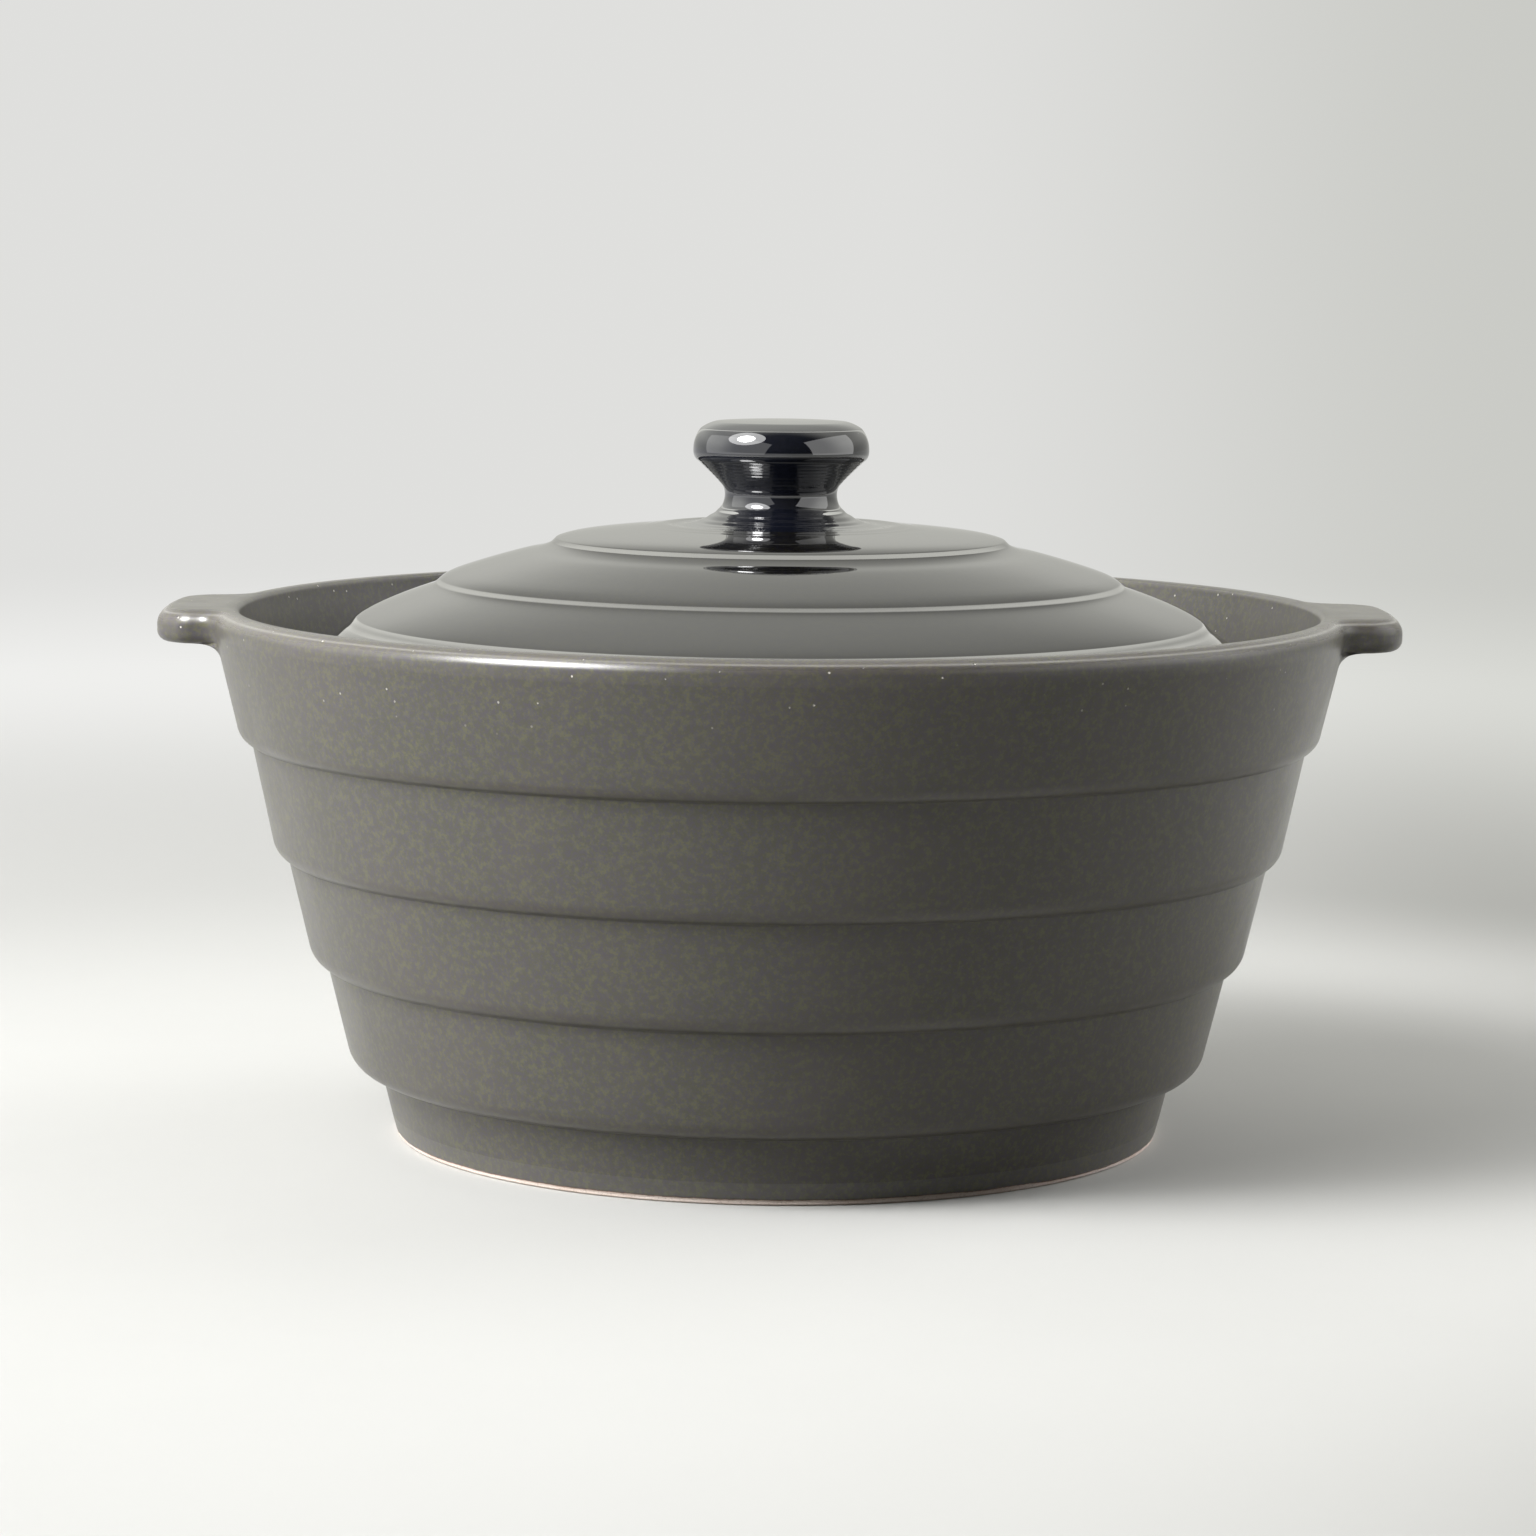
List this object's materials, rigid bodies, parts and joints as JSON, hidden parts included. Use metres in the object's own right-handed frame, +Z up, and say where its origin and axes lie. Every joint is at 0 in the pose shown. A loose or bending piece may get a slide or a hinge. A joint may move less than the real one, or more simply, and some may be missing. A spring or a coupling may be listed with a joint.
{
  "type": "donabe clay pot",
  "caption": "Round clay cooking pot with a stepped wall, lug handles, an unglazed foot ring, and a low stepped lid with a knob and steam hole.",
  "frame": {"origin": "centre of the face that the foot ring rests on, on the pot's axis", "axes": "+Z up along the pot's axis, +X out through the right lug, -Y towards the viewer"},
  "size_m": [0.2776, 0.2516, 0.1596],
  "materials": {
    "pot_glaze": "semi-matt iron-black glaze, mottled brown and olive, redder on the rim",
    "lid_glaze": "glossy black-brown glaze",
    "knob_glaze": "very glossy blue-black glaze",
    "bare_clay": "unglazed pale pinkish stoneware"
  },
  "bodies": {
    "pot": {"pot_bowl": "pot_glaze", "foot_ring": "bare_clay", "lug_left": "pot_glaze", "lug_right": "pot_glaze"},
    "lid": {"lid_dome": "lid_glaze", "lid_knob": "knob_glaze"}
  },
  "joints": [
    {"name": "lid_lift", "type": "slide", "parent": "pot", "child": "lid", "axis": [0, 0, 1], "range_m": [0, 0.12]}
  ]
}
